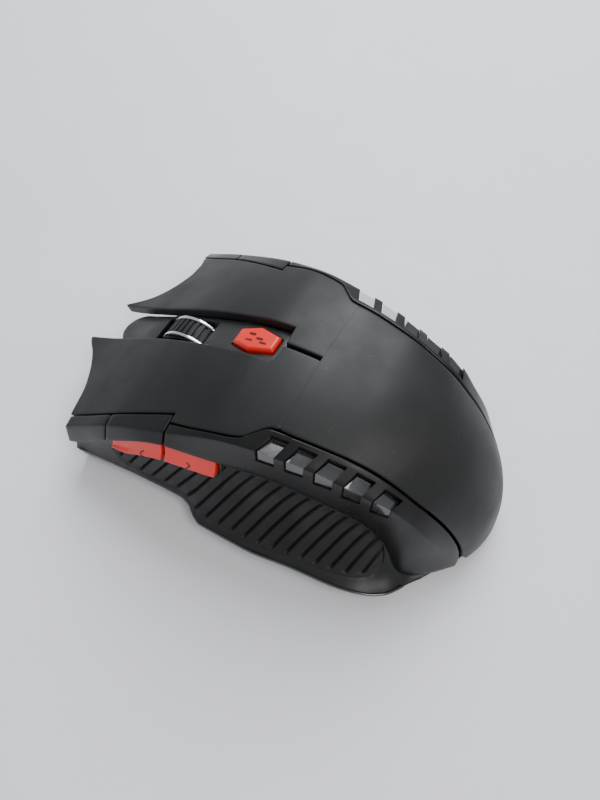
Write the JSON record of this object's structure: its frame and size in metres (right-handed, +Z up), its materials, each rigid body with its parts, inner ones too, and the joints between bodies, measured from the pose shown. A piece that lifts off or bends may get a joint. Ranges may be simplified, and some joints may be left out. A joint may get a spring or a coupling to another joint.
{
  "type": "wireless optical mouse",
  "caption": "Wireless optical mouse with soft-touch shell, split hollow-fronted keys, scroll wheel, ribbed thumb wing and red side buttons, for pointing and clicking.",
  "frame": {"origin": "middle of the footprint, on the plane the glide feet stand on", "axes": "+X points forward to the key tips, +Y to the thumb side, +Z up"},
  "size_m": [0.1124, 0.0684, 0.039],
  "materials": {
    "soft_touch_shell": "soft-touch matte charcoal black",
    "deck_grey": "fine-grained dark grey",
    "accent_red": "satin orange-red",
    "panel_black": "satin black",
    "smoked_insert": "polished smoked black",
    "base_grey": "satin dark grey",
    "grip_rubber": "matte ribbed rubber",
    "tyre_rubber": "matte moulded rubber",
    "rim_chrome": "bright plated",
    "glide_foot": "smooth low-friction",
    "hub_plastic": "moulded",
    "steel": "drawn",
    "board_green": "lacquered laminate",
    "switch_black": "moulded",
    "plunger_red": "moulded",
    "clear_lens": "clear moulded",
    "led_red": "clear red epoxy",
    "cell_jacket": "printed steel can",
    "spring_steel": "nickel plated",
    "tray_plastic": "moulded"
  },
  "bodies": {
    "housing": {"palm_cover": "soft_touch_shell", "centre_deck": "deck_grey", "left_front_panel": "panel_black", "right_front_panel": "panel_black", "left_side_panel": "panel_black", "right_side_panel": "panel_black", "left_vent_insert": "smoked_insert", "right_vent_insert": "smoked_insert", "base_shell": "base_grey", "thumb_grip": "grip_rubber", "right_grip": "grip_rubber", "front_foot": "glide_foot", "rear_foot": "glide_foot", "case_screws": "steel", "board_screws": "steel", "main_board": "board_green", "side_board": "board_green", "riser_board": "board_green", "left_key_switch": "switch_black", "right_key_switch": "switch_black", "dpi_switch": "switch_black", "forward_switch": "switch_black", "back_switch": "switch_black", "optical_sensor": "switch_black", "power_switch": "switch_black", "sensor_lens": "clear_lens", "sensor_led": "led_red", "battery_cells": "cell_jacket", "wheel_spring": "spring_steel", "contact_plates": "spring_steel", "contact_springs": "spring_steel", "battery_tray": "tray_plastic"},
    "left_key": {"left_key": "soft_touch_shell"},
    "right_key": {"right_key": "soft_touch_shell"},
    "left_plunger": {"left_plunger": "plunger_red"},
    "right_plunger": {"right_plunger": "plunger_red"},
    "wheel_cradle": {"wheel_carrier": "hub_plastic", "scroll_encoder": "switch_black"},
    "wheel": {"wheel_hub": "hub_plastic", "wheel_tyre": "tyre_rubber", "wheel_rims": "rim_chrome", "wheel_axle": "steel", "encoder_rotor": "hub_plastic"},
    "dpi_button": {"dpi_button": "accent_red"},
    "forward_button": {"forward_button": "accent_red"},
    "back_button": {"back_button": "accent_red"},
    "battery_door": {"battery_door": "base_grey"},
    "usb_receiver": {"usb_receiver": "tray_plastic"},
    "power_knob": {"power_knob": "hub_plastic"}
  },
  "joints": [
    {"name": "left_key_press", "type": "hinge", "parent": "housing", "child": "left_key", "pos_m": [-0.0093, 0.006, 0.0376], "axis": [0, 1, 0], "range_deg": [0, 0.9], "stiffness_Nm_per_rad": 1.6},
    {"name": "right_key_press", "type": "hinge", "parent": "housing", "child": "right_key", "pos_m": [-0.0093, -0.006, 0.0376], "axis": [0, 1, 0], "range_deg": [0, 0.9], "stiffness_Nm_per_rad": 1.6},
    {"name": "left_plunger_drop", "type": "slide", "parent": "housing", "child": "left_plunger", "axis": [0, 0, -1], "range_m": [0, 0.000539]},
    {"name": "right_plunger_drop", "type": "slide", "parent": "housing", "child": "right_plunger", "axis": [0, 0, -1], "range_m": [0, 0.000539]},
    {"name": "wheel_click", "type": "slide", "parent": "housing", "child": "wheel_cradle", "axis": [0, 0, -1], "range_m": [0, 0.0005], "stiffness_N_per_m": 2500, "deforming": ["wheel_spring"]},
    {"name": "wheel_roll", "type": "hinge", "parent": "wheel_cradle", "child": "wheel", "pos_m": [0.024, 0, 0.0184], "axis": [0, 1, 0], "continuous": true},
    {"name": "dpi_press", "type": "slide", "parent": "housing", "child": "dpi_button", "axis": [0, 0, -1], "range_m": [0, 0.0005], "stiffness_N_per_m": 1500},
    {"name": "forward_press", "type": "slide", "parent": "housing", "child": "forward_button", "axis": [0, -1, 0], "range_m": [0, 0.0005], "stiffness_N_per_m": 1500},
    {"name": "back_press", "type": "slide", "parent": "housing", "child": "back_button", "axis": [0, -1, 0], "range_m": [0, 0.0005], "stiffness_N_per_m": 1500},
    {"name": "battery_door_release", "type": "slide", "parent": "housing", "child": "battery_door", "axis": [0, 0, -1], "range_m": [0, 0.012]},
    {"name": "receiver_release", "type": "slide", "parent": "housing", "child": "usb_receiver", "axis": [0, 0, -1], "range_m": [0, 0.018]},
    {"name": "power_slide", "type": "slide", "parent": "housing", "child": "power_knob", "axis": [1, 0, 0], "range_m": [0, 0.0035]}
  ],
  "couplings": [
    {"joint": "left_plunger_drop", "follows": "left_key_press", "m_per_rad": 0.0343},
    {"joint": "right_plunger_drop", "follows": "right_key_press", "m_per_rad": 0.0343}
  ]
}
